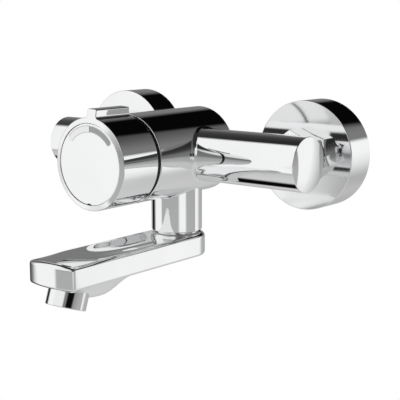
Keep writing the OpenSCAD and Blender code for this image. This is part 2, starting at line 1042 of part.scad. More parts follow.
tap_frame() body_casting();
tap_frame() inlet_nipple(-1);  // inlet_nipple_left
tap_frame() inlet_nipple(1);  // inlet_nipple_right
tap_frame() union_nut(-1);  // union_nut_left
tap_frame() union_nut(1);  // union_nut_right
tap_frame() union_washers();
tap_frame() s_union(-1);  // s_union_left
tap_frame() s_union(1);  // s_union_right
tap_frame() wall_flange(-1);  // wall_flange_left
tap_frame() wall_flange(1);  // wall_flange_right
tap_frame() check_cage(-1);  // check_cage_left
tap_frame() check_cage(1);  // check_cage_right
tap_frame() check_spring(-1);  // check_spring_left
tap_frame() check_spring(1);  // check_spring_right
tap_frame() check_poppet(-1);  // check_poppet_left
tap_frame() check_poppet(1);  // check_poppet_right
tap_frame() port_block();
tap_frame() block_seals();
tap_frame() port_seals();
tap_frame() disc_seals();
tap_frame() fixed_disc();
tap_frame() cartridge_housing();
tap_frame() gland_nut();
tap_frame() guide_bush();
tap_frame() timing_cover();
tap_frame() return_spring();
tap_frame() spout_screw();
tap_frame() mixing_driver();
tap_frame() mixing_disc();
tap_frame() limit_ring();
tap_frame() driver_seal();
tap_frame() rod_seal();
tap_frame() handle_sleeve();
tap_frame() cover_cap();
tap_frame() hot_mark();
tap_frame() cold_mark();
tap_frame() handle_screw();
tap_frame() push_rod();
tap_frame() valve_poppet();
tap_frame() poppet_seal();
tap_frame() piston_seal();
tap_frame() spout_body();
tap_frame() spout_stem();
tap_frame() stem_seals();
tap_frame() slide_washer();
tap_frame() aerator_housing();
tap_frame() aerator_insert();
tap_frame() aerator_seal();
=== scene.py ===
import json
import math
import bmesh
import bpy
from mathutils import Matrix, Vector, kdtree


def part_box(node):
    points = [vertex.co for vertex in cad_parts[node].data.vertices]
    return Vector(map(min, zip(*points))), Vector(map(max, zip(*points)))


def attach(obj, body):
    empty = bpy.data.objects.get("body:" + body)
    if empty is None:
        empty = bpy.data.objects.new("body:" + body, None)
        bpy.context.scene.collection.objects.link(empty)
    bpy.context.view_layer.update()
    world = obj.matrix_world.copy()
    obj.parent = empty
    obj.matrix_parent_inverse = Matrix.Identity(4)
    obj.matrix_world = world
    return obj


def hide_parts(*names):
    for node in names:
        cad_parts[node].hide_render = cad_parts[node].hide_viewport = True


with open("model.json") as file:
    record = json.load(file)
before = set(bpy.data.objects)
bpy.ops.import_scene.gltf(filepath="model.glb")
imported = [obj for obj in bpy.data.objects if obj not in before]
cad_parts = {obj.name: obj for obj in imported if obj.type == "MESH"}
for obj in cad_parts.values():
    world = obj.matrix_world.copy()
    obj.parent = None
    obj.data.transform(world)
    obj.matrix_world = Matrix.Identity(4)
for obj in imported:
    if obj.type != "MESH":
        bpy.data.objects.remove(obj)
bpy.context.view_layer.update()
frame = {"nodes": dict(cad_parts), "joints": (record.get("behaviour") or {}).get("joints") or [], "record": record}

mm = 0.001
joints = {joint["name"]: joint for joint in frame["joints"]}

# main places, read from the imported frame
flangeLow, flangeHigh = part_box("wall_flange_right")
bodyLow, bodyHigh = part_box("body_casting")
sleeveLow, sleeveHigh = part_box("handle_sleeve")
capLow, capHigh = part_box("cover_cap")
spoutLow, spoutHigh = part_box("spout_body")
axisZ = (flangeLow.z + flangeHigh.z) / 2
inletX = (flangeLow.x + flangeHigh.x) / 2
bodyR = bodyHigh.z - axisZ
armY = joints["spout_swivel"]["pos_m"][1]
turnRange = joints["temperature_turn"]["range_deg"]
restTurn = math.radians(-(turnRange[0] + turnRange[1]) / 2)


# materials
def newMaterial(name):
    mat = bpy.data.materials.new(name)
    mat.use_nodes = True
    nodes = mat.node_tree.nodes
    return mat, nodes, mat.node_tree.links, nodes["Principled BSDF"]


def noiseOn(nodes, links, scale, detail=3.0, stretch=(1, 1, 1)):
    coords = nodes.new("ShaderNodeTexCoord")
    mapping = nodes.new("ShaderNodeMapping")
    mapping.inputs["Scale"].default_value = stretch
    noise = nodes.new("ShaderNodeTexNoise")
    noise.inputs["Scale"].default_value = scale
    noise.inputs["Detail"].default_value = detail
    links.new(coords.outputs["Object"], mapping.inputs["Vector"])
    links.new(mapping.outputs["Vector"], noise.inputs["Vector"])
    return noise.outputs["Fac"]


def rampOf(nodes, links, fac, low, high, start=0.3, end=0.7):
    ramp = nodes.new("ShaderNodeValToRGB")
    ramp.color_ramp.elements[0].position = start
    ramp.color_ramp.elements[1].position = end
    ramp.color_ramp.elements[0].color = (*low, 1)
    ramp.color_ramp.elements[1].color = (*high, 1)
    links.new(fac, ramp.inputs["Fac"])
    return ramp.outputs["Color"]


def rangeOf(nodes, links, fac, low, high):
    span = nodes.new("ShaderNodeMapRange")
    span.inputs["To Min"].default_value = low
    span.inputs["To Max"].default_value = high
    links.new(fac, span.inputs["Value"])
    return span.outputs["Result"]


def bumpOf(nodes, links, fac, strength, distance):
    bump = nodes.new("ShaderNodeBump")
    bump.inputs["Strength"].default_value = strength
    bump.inputs["Distance"].default_value = distance
    links.new(fac, bump.inputs["Height"])
    return bump.outputs["Normal"]


# plating: a bright mirror with a faint haze that drifts over the surface
chromeLook = {"low": (0.86, 0.865, 0.87), "high": (0.90, 0.902, 0.905), "scale": 28.0}


def chromePlate(name, haze):
    mat, nodes, links, shader = newMaterial(name)
    drift = noiseOn(nodes, links, chromeLook["scale"])
    links.new(rampOf(nodes, links, drift, chromeLook["low"], chromeLook["high"]), shader.inputs["Base Color"])
    links.new(rangeOf(nodes, links, drift, *haze), shader.inputs["Roughness"])
    shader.inputs["Metallic"].default_value = 1.0
    return mat


# turned metal: fine rings from the lathe, seen as bump and as a change of shine
latheLook = {"scale": 40.0, "detail": 4.0, "drawnOut": 3.0, "stain": 55.0, "bump": 0.12, "depth": 0.2 * mm}


def turnedMetal(name, low, high, haze, rings, axis):
    mat, nodes, links, shader = newMaterial(name)
    stretch = [latheLook["drawnOut"]] * 3
    stretch[axis] = rings
    lathe = noiseOn(nodes, links, latheLook["scale"], latheLook["detail"], stretch)
    stain = noiseOn(nodes, links, latheLook["stain"])
    links.new(rampOf(nodes, links, stain, low, high), shader.inputs["Base Color"])
    links.new(rangeOf(nodes, links, lathe, *haze), shader.inputs["Roughness"])
    links.new(bumpOf(nodes, links, lathe, latheLook["bump"], latheLook["depth"]), shader.inputs["Normal"])
    shader.inputs["Metallic"].default_value = 1.0
    return mat


# moulded plastic or rubber: slight mottling and a fine grain
mouldLook = {"mottle": 60.0, "grain": 1800.0, "detail": 2.0, "depth": 0.1 * mm}


def moulded(name, low, high, haze, grain):
    mat, nodes, links, shader = newMaterial(name)
    mottle = noiseOn(nodes, links, mouldLook["mottle"])
    fine = noiseOn(nodes, links, mouldLook["grain"], mouldLook["detail"])
    links.new(rampOf(nodes, links, mottle, low, high), shader.inputs["Base Color"])
    links.new(rangeOf(nodes, links, mottle, *haze), shader.inputs["Roughness"])
    links.new(bumpOf(nodes, links, fine, grain, mouldLook["depth"]), shader.inputs["Normal"])
    return mat


# inlay of the scale: brushed, with a thin outline of another shade along both its long edges
inlayForm = {"middle": 20.8 * mm, "halfWidth": 1.72 * mm, "haze": (0.22, 0.28), "brush": 6.0}


def inlay(name, low, high, outline):
    mat = turnedMetal(name, low, high, inlayForm["haze"], inlayForm["brush"], 1)
    nodes, links = mat.node_tree.nodes, mat.node_tree.links
    coords = nodes.new("ShaderNodeTexCoord")
    fromAxis = nodes.new("ShaderNodeVectorMath")
    fromAxis.operation = "MULTIPLY_ADD"
    fromAxis.inputs[1].default_value = (1, 0, 1)
    fromAxis.inputs[2].default_value = (0, 0, -axisZ)
    links.new(coords.outputs["Object"], fromAxis.inputs[0])
    radius = nodes.new("ShaderNodeVectorMath")
    radius.operation = "LENGTH"
    links.new(fromAxis.outputs["Vector"], radius.inputs[0])
    near = nodes.new("ShaderNodeMath")
    near.operation = "COMPARE"
    near.inputs[1].default_value = inlayForm["middle"]
    near.inputs[2].default_value = inlayForm["halfWidth"]
    links.new(radius.outputs["Value"], near.inputs[0])
    mix = nodes.new("ShaderNodeMix")
    mix.data_type = "RGBA"
    mix.inputs[6].default_value = (*outline, 1)
    base = nodes["Principled BSDF"].inputs["Base Color"]
    links.new(near.outputs[0], mix.inputs["Factor"])
    links.new(base.links[0].from_socket, mix.inputs[7])
    links.new(mix.outputs[2], base)
    return mat


chrome = chromePlate("brightPlating", (0.015, 0.045))
softChrome = chromePlate("flangePlating", (0.055, 0.085))
brass = turnedMetal("turnedBrass", (0.60, 0.43, 0.17), (0.72, 0.55, 0.26), (0.18, 0.34), 30.0, 1)
steel = turnedMetal("drawnSteel", (0.50, 0.51, 0.53), (0.62, 0.63, 0.65), (0.16, 0.30), 24.0, 1)
sealRubber = moulded("sealRubber", (0.010, 0.010, 0.011), (0.022, 0.022, 0.023), (0.55, 0.75), 0.10)
blackPlastic = moulded("bushPlastic", (0.008, 0.008, 0.009), (0.016, 0.016, 0.017), (0.35, 0.5), 0.08)
greyPlastic = moulded("valvePlastic", (0.24, 0.25, 0.26), (0.30, 0.31, 0.32), (0.38, 0.5), 0.06)
whitePlastic = moulded("slidePlastic", (0.72, 0.72, 0.70), (0.80, 0.80, 0.78), (0.35, 0.48), 0.05)
redPlastic = moulded("stopPlastic", (0.40, 0.025, 0.018), (0.50, 0.035, 0.025), (0.34, 0.46), 0.05)
ceramic = moulded("discCeramic", (0.78, 0.76, 0.70), (0.85, 0.83, 0.78), (0.10, 0.18), 0.02)
coldInk = inlay("coldInlay", (0.34, 0.345, 0.35), (0.38, 0.385, 0.39), (0.80, 0.80, 0.805))
hotInk = inlay("hotInlay", (0.82, 0.82, 0.825), (0.86, 0.86, 0.865), (0.36, 0.365, 0.37))
print("materials made")

slotMaterials = {
    "chrome": chrome, "brass": brass, "steel": steel, "seal_rubber": sealRubber,
    "black_plastic": blackPlastic, "grey_plastic": greyPlastic, "white_plastic": whitePlastic,
    "disc_ceramic": ceramic, "red_plastic": redPlastic, "hot_print": hotInk, "cold_print": coldInk,
}
for subpart in frame["record"]["subparts"]:
    node = frame["nodes"][subpart["node"]]
    node.data.materials.clear()
    node.data.materials.append(slotMaterials[subpart["material_slot"]])


# modelling helpers
weld = 0.002 * mm  # points closer than this become one


def startPiece():
    return {"bm": bmesh.new(), "points": [], "normals": []}


def crossOf(a, b):
    return (a[1] * b[2] - a[2] * b[1], a[2] * b[0] - a[0] * b[2], a[0] * b[1] - a[1] * b[0])


def surfaceNormal(place, u, v):
    step = 1e-3
    for shift in (0.0, 0.02):
        cu = u + shift * (0.5 - u)
        cv = v + shift * (0.5 - v)
        u0, u1 = max(cu - step, 0), min(cu + step, 1)
        v0, v1 = max(cv - step, 0), min(cv + step, 1)
        along = [a - b for a, b in zip(place(u1, cv), place(u0, cv))]
        across = [a - b for a, b in zip(place(cu, v1), place(cu, v0))]
        n = crossOf(along, across)
        size = math.sqrt(n[0] ** 2 + n[1] ** 2 + n[2] ** 2)
        if size > 1e-16:
            return Vector((n[0] / size, n[1] / size, n[2] / size))
    return Vector((0, 0, 1))


# a grid laid on the surface that place(u, v) gives, with u and v running from 0 to 1
def layPatch(piece, uSteps, vSteps, place):
    grid = bmesh.ops.create_grid(piece["bm"], x_segments=uSteps, y_segments=vSteps, size=0.5)
    for vert in grid["verts"]:
        u, v = vert.co.x + 0.5, vert.co.y + 0.5
        vert.co = place(u, v)
        piece["points"].append(vert.co.copy())
        piece["normals"].append(surfaceNormal(place, u, v))


def finishPatches(piece, name, mat, body, slot, *nodes):
    bm = piece["bm"]
    bmesh.ops.remove_doubles(bm, verts=bm.verts, dist=weld)
    bmesh.ops.dissolve_degenerate(bm, edges=bm.edges, dist=weld / 2)
    bmesh.ops.recalc_face_normals(bm, faces=bm.faces)
    bm.normal_update()
    tree = kdtree.KDTree(len(piece["points"]))
    for i, point in enumerate(piece["points"]):
        tree.insert(point, i)
    tree.balance()
    vertexNormals = []
    for vert in bm.verts:
        n = piece["normals"][tree.find(vert.co)[1]]
        vertexNormals.append(n if n.dot(vert.normal) >= 0 else -n)
    mesh = bpy.data.meshes.new(name)
    bm.to_mesh(mesh)
    bm.free()
    mesh.shade_smooth()
    mesh.normals_split_custom_set_from_vertices(vertexNormals)
    return placePiece(mesh, name, mat, body, slot, *nodes)


def placePiece(mesh, name, mat, body, slot, *nodes):
    obj = bpy.data.objects.new(name, mesh)
    bpy.context.scene.collection.objects.link(obj)
    mesh.materials.append(mat)
    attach(obj, body)
    if nodes:
        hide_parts(*nodes)
    print("made", name, len(mesh.polygons), "faces")
    return obj


def lineStretch(p, q):
    return lambda t: (p[0] + (q[0] - p[0]) * t, p[1] + (q[1] - p[1]) * t)


def arcStretch(centre, radius, start, turn):
    return lambda t: (
        centre[0] + radius * math.cos(start + turn * t),
        centre[1] + radius * math.sin(start + turn * t),
    )


# a path through corners (a, b, rounding), as stretches of line and arc with their step counts
def roundedPath(corners, arcSteps=5):
    stretches = []
    last = corners[0][:2]
    for i in range(1, len(corners) - 1):
        p = Vector(corners[i][:2])
        back = (Vector(corners[i - 1][:2]) - p).normalized()
        ahead = (Vector(corners[i + 1][:2]) - p).normalized()
        radius = corners[i][2]
        if radius <= 0:
            stretches.append((lineStretch(last, tuple(p)), 1))
            last = tuple(p)
            continue
        half = back.angle(ahead) / 2
        reach = radius / math.tan(half)
        p0, p1 = p + back * reach, p + ahead * reach
        centre = p + (back + ahead).normalized() * radius / math.sin(half)
        a0 = math.atan2(p0.y - centre.y, p0.x - centre.x)
        turn = math.atan2(p1.y - centre.y, p1.x - centre.x) - a0
        turn = (turn + math.pi) % (2 * math.pi) - math.pi
        stretches.append((lineStretch(last, tuple(p0)), 1))
        stretches.append((arcStretch(tuple(centre), radius, a0, turn), arcSteps))
        last = tuple(p1)
    stretches.append((lineStretch(last, corners[-1][:2]), 1))
    return stretches


def pathPoints(corners, arcSteps=5):
    points = [corners[0][:2]]
    for stretch, steps in roundedPath(corners, arcSteps):
        points += [stretch((i + 1) / steps) for i in range(steps)]
    return points


# a turned piece: a profile of (radius, height) corners spun about Z, then carried to its place
def spinProfile(bm, corners, steps, place, closed=True):
    verts = [bm.verts.new((r, 0, h)) for r, h in pathPoints(corners)]
    ring = zip(verts, verts[1:] + verts[:1]) if closed else zip(verts, verts[1:])
    edges = [bm.edges.new(pair) for pair in ring]
    before = set(bm.verts) - set(verts)
    bmesh.ops.spin(
        bm, geom=verts + edges, cent=(0, 0, 0), axis=(0, 0, 1), dvec=(0, 0, 0),
        angle=2 * math.pi, steps=steps, use_merge=True, use_normal_flip=False, use_duplicate=False,
    )
    made = [v for v in bm.verts if v not in before]
    bmesh.ops.transform(bm, matrix=place, verts=made)


def finishSpun(bm, name, mat, body, slot, *nodes):
    bmesh.ops.remove_doubles(bm, verts=bm.verts, dist=weld)
    bmesh.ops.recalc_face_normals(bm, faces=bm.faces)
    mesh = bpy.data.meshes.new(name)
    bm.to_mesh(mesh)
    bm.free()
    mesh.shade_smooth()
    obj = placePiece(mesh, name, mat, body, slot, *nodes)
    weighted = obj.modifiers.new("flatFaces", "WEIGHTED_NORMAL")
    weighted.mode = "FACE_AREA"
    weighted.weight = 80
    return obj


# turned about an axis along Y at (x, z): heights become distances from the wall towards the front
def alongWall(x, z):
    return Matrix.Translation((x, 0, z)) @ Matrix.Rotation(math.pi / 2, 4, "X")


# body casting: barrel, arms and neck with rolling-ball fillets
bodyForm = {
    "armRadius": 16.5 * mm, "armFillet": 3.0 * mm, "armEdge": 100.0 * mm, "armDome": 1.5 * mm,
    "armCrease": 0.4 * mm, "neckRadius": 16.4 * mm, "neckFillet": 1.3 * mm, "neckChamfer": 2.0 * mm,
    "frontRound": 0.7 * mm, "backRound": 1.2 * mm, "boreRadius": 21.0 * mm, "boreDepth": 11.3 * mm,
    "stemBore": 10.5 * mm, "stemDepth": 20.0 * mm, "bossRadius": 13.5 * mm, "bossFace": 36.1 * mm,
    "bossRoot": 50.0 * mm, "bossSteps": 64, "innerRound": 0.3 * mm, "halfLength": 23.0 * mm, "armShare": 45.5,
    "sideSteps": 20, "ringSteps": 6, "filletSteps": 8, "branchSteps": 4, "creaseSteps": 5, "domeSteps": 8,
}


def buildBody(form):
    piece = startPiece()
    frontY, backY = bodyLow.y, bodyHigh.y
    side = form["sideSteps"]
    halfArm = math.radians(form["armShare"])
    halfNeck = math.pi / 2 - halfArm
    midFront, midBack = armY - form["halfLength"], armY + form["halfLength"]

    def barrel(theta, y, r=bodyR):
        return (r * math.sin(theta), y, axisZ + r * math.cos(theta))

    def squareWalk(u):
        k = math.floor(u * 4)
        f = (u * 4 - k) * 2 - 1
        return ((1, f), (-f, 1), (-1, -f), (f, -1))[k % 4]

    def branchPoint(theta0, a, y, t):
        s, c = math.sin(theta0), math.cos(theta0)
        return (a * s + t * c, armY + y, axisZ + a * c - t * s)

    def addBranch(theta0, half, radius, fillet, profile):
        def phiOf(u):
            st, sy = squareWalk(u)
            return math.atan2(st, sy)

        def ballCentre(phi):
            t = (radius + fillet) * math.sin(phi)
            return math.sqrt((bodyR + fillet) ** 2 - t * t), (radius + fillet) * math.cos(phi), t

        def onFillet(u, v):
            phi = phiOf(u)
            a, y, t = ballCentre(phi)
            d1 = (0.0, -math.cos(phi), -math.sin(phi))
            d2 = (-a / (bodyR + fillet), 0.0, -t / (bodyR + fillet))
            angle = math.acos(max(-1, min(1, sum(p * q for p, q in zip(d1, d2)))))
            k1, k2 = math.sin((1 - v) * angle) / math.sin(angle), math.sin(v * angle) / math.sin(angle)
            d = [k1 * p + k2 * q for p, q in zip(d1, d2)]
            return branchPoint(theta0, a + fillet * d[0], y + fillet * d[1], t + fillet * d[2])

        def onBarrel(u, v):
            st, sy = squareWalk(u)
            a, y, t = ballCentre(phiOf(u))
            hole = math.asin(t / (bodyR + fillet))
            theta = hole + (st * half - hole) * v
            along = y + (sy * form["halfLength"] - y) * v
            return barrel(theta0 + theta, armY + along)

        def onBranch(u, v):
            phi = phiOf(u)
            a = ballCentre(phi)[0]
            return branchPoint(
                theta0, a + (profile[0][0](0)[1] - a) * v, radius * math.cos(phi), radius * math.sin(phi)
            )

        layPatch(piece, 4 * side, form["ringSteps"], onBarrel)
        layPatch(piece, 4 * side, form["filletSteps"], onFillet)
        layPatch(piece, 4 * side, form["branchSteps"], onBranch)
        for stretch, steps in profile:
            def onEnd(u, v, stretch=stretch):
                r, a = stretch(v)
                phi = phiOf(u)
                return branchPoint(theta0, a, r * math.cos(phi), r * math.sin(phi))
            layPatch(piece, 4 * side, steps, onEnd)

    # arm end: crisp small round, then a shallow dome
    armR, edge = form["armRadius"], form["armCrease"]
    domeR = (armR ** 2 + form["armDome"] ** 2) / (2 * form["armDome"])
    domeCentre = form["armEdge"] + form["armDome"] - domeR
    roundA = domeCentre + math.sqrt((domeR - edge) ** 2 - (armR - edge) ** 2)
    meet = math.atan2(roundA - domeCentre, armR - edge)
    armProfile = [
        (arcStretch((armR - edge, roundA), edge, 0, meet), form["creaseSteps"]),
        (arcStretch((0, domeCentre), domeR, meet, math.pi / 2 - meet), form["domeSteps"]),
    ]
    addBranch(math.pi / 2, halfArm, armR, form["armFillet"], armProfile)
    addBranch(-math.pi / 2, halfArm, armR, form["armFillet"], armProfile)

    neckR, chamfer, inner = form["neckRadius"], form["neckChamfer"], form["innerRound"]
    neckEnd = axisZ - bodyLow.z
    stemEnd = neckEnd - form["stemDepth"]
    neckProfile = roundedPath([
        (neckR, neckEnd - 3 * chamfer, 0), (neckR, neckEnd - chamfer, inner), (neckR - chamfer, neckEnd, inner),
        (form["stemBore"], neckEnd, inner), (form["stemBore"], stemEnd, inner), (0, stemEnd, 0),
    ], 4)
    addBranch(math.pi, halfNeck, neckR, form["neckFillet"], neckProfile)

    # the rest of the barrel: a band on top, and the ends turned all round
    sectors = [
        (-halfNeck, halfNeck), (halfNeck, math.pi - halfNeck),
        (math.pi - halfNeck, math.pi + halfNeck), (math.pi + halfNeck, 2 * math.pi - halfNeck),
    ]

    def onTop(u, v):
        return barrel(-halfNeck + 2 * halfNeck * u, midFront + (midBack - midFront) * v)

    layPatch(piece, side, side, onTop)
    boreEnd = frontY + form["boreDepth"]
    frontEnd = roundedPath([
        (bodyR, midFront, 0), (bodyR, frontY, form["frontRound"]), (form["boreRadius"], frontY, inner),
        (form["boreRadius"], boreEnd, inner), (0, boreEnd, 0),
    ])
    backEnd = roundedPath([(bodyR, midBack, 0), (bodyR, backY, form["backRound"]), (0, backY, 0)], 6)
    for start, end in sectors:
        for stretch, steps in frontEnd + backEnd:
            def onTurned(u, v, stretch=stretch, start=start, end=end):
                r, y = stretch(v)
                return barrel(start + (end - start) * u, y, r)
            layPatch(piece, side, steps * 2, onTurned)
    return finishPatches(piece, "bodyShell", chrome, "tap_body", "chrome", "body_casting")


buildBody(bodyForm)

# inlet bosses behind the arms, seats for the union nuts
bm = bmesh.new()
bossR, bossRoot, bossFace = (bodyForm[key] for key in ("bossRadius", "bossRoot", "bossFace"))
for sideX in (-inletX, inletX):
    spinProfile(bm, [
        (0.0, bossRoot, 0), (bossR, bossRoot, 0), (bossR, bossFace, bodyForm["innerRound"]), (0.0, bossFace, 0),
    ], bodyForm["bossSteps"], alongWall(sideX, axisZ), closed=False)
finishSpun(bm, "inletBosses", chrome, "tap_body", "chrome")

# wall flanges: deep cups with a crisp front edge
flangeForm = {
    "edge": 0.5 * mm, "wall": 1.5 * mm, "hole": 13.25 * mm, "plate": 2.0 * mm, "steps": 128,
    "rimRound": 0.2 * mm, "holeRound": 0.3 * mm, "cupRound": 0.6 * mm,
}


def buildFlange(name, node, x):
    low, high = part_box(node)
    form, radius, depth = flangeForm, (high.x - low.x) / 2, -low.y
    inner, plateBack, rim = radius - form["wall"], depth - form["plate"], form["rimRound"]
    bm = bmesh.new()
    spinProfile(bm, [
        (inner + rim, 0, 0), (radius, 0, rim), (radius, depth, form["edge"]),
        (form["hole"], depth, form["holeRound"]), (form["hole"], plateBack, rim),
        (inner, plateBack, form["cupRound"]), (inner, 0, rim), (inner + rim, 0, 0),
    ], form["steps"], alongWall(x, axisZ))
    return finishSpun(bm, name, softChrome, "tap_body", "chrome", node)


buildFlange("wallFlangeLeft", "wall_flange_left", -inletX)
buildFlange("wallFlangeRight", "wall_flange_right", inletX)

# union nuts: hexagons with soft corners, turned off at both ends
nutForm = {
    "flats": 30.0 * mm, "turn": -20.0, "corner": 0.5 * mm, "face": 14.75 * mm, "bevel": 30.0,
    "soft": 0.06 * mm, "zone": 2.0 * mm, "bore": 13.05 * mm, "lipBore": 10.7 * mm, "lip": 2.0 * mm,
    "flatSteps": 12, "cornerSteps": 5, "endRows": 20, "plainRows": 2,
}


def buildNut(name, node, x):
    low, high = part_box(node)
    front, back, form = low.y, high.y, nutForm
    piece = startPiece()
    soft, corner = form["soft"], form["corner"]
    steep = 1 / math.tan(math.radians(form["bevel"]))
    reach = (form["flats"] / 2 - corner) / math.cos(math.pi / 6)
    outline = []
    for k in range(6):
        a, b = math.radians(form["turn"] + 60 * k), math.radians(form["turn"] + 60 * k + 60)
        middle = (a + b) / 2
        p = (reach * math.cos(a) + corner * math.cos(middle), reach * math.sin(a) + corner * math.sin(middle))
        q = (reach * math.cos(b) + corner * math.cos(middle), reach * math.sin(b) + corner * math.sin(middle))
        turning = arcStretch((reach * math.cos(b), reach * math.sin(b)), corner, middle, math.pi / 3)
        outline.append((lineStretch(p, q), form["flatSteps"]))
        outline.append((turning, form["cornerSteps"]))

    # the cones at the ends draw the corners in
    def skin(y):
        def radiusAt(wide):
            cone = form["face"] + min(y - front, back - y) * steep
            return wide - soft * math.log1p(math.exp((wide - cone) / soft))
        return radiusAt

    def fixed(radius):
        return lambda wide: radius

    coneFront, coneBack, step = front + form["zone"], back - form["zone"], front + form["lip"]
    ends = (
        (front, coneFront, form["endRows"]),
        (coneFront, coneBack, form["plainRows"]),
        (coneBack, back, form["endRows"]),
    )
    inside = [
        (skin(front), front), (fixed(form["lipBore"]), front), (fixed(form["lipBore"]), step),
        (fixed(form["bore"]), step), (fixed(form["bore"]), back), (skin(back), back),
    ]
    for stretch, steps in outline:
        for y0, y1, rows in ends:
            def onSide(u, v, stretch=stretch, y0=y0, y1=y1):
                px, pz = stretch(u)
                y = y0 + (y1 - y0) * v
                wide = math.hypot(px, pz)
                k = skin(y)(wide) / wide
                return (x + px * k, y, axisZ + pz * k)
            layPatch(piece, steps, rows, onSide)
        for (r0, y0), (r1, y1) in zip(inside, inside[1:]):
            def onInside(u, v, stretch=stretch, r0=r0, r1=r1, y0=y0, y1=y1):
                px, pz = stretch(u)
                wide = math.hypot(px, pz)
                k = (r0(wide) + (r1(wide) - r0(wide)) * v) / wide
                return (x + px * k, y0 + (y1 - y0) * v, axisZ + pz * k)
            layPatch(piece, steps, form["plainRows"], onInside)
    return finishPatches(piece, name, chrome, "tap_body", "chrome", node)


buildNut("unionNutLeft", "union_nut_left", -inletX)
buildNut("unionNutRight", "union_nut_right", inletX)

# handle sleeve: one outline of circle and lever, carried along the axis
sleeveForm = {
    "leverHalf": 3.5 * mm, "leverDraft": 3.0, "leverRise": 4.9 * mm, "leverRound": 0.8 * mm, "foot": 1.8 * mm,
    "leverSlant": 8.0, "leverBack": 0.8 * mm, "edge": 0.5 * mm, "wall": 2.5 * mm, "ringDrop": 0.6 * mm,
    "capGap": 0.18 * mm, "capSeat": 3.2 * mm, "ledge": 1.3 * mm, "cavity": 12.0 * mm, "rearDepth": 10.4 * mm,
    "lipRound": 0.25 * mm, "seatRound": 0.2 * mm, "innerRound": 0.3 * mm, "aroundSteps": 140, "leverSteps": 10,
    "footSteps": 6, "flankSteps": 3, "tipSteps": 5, "edgeRows": 5, "skinRows": 4,
}


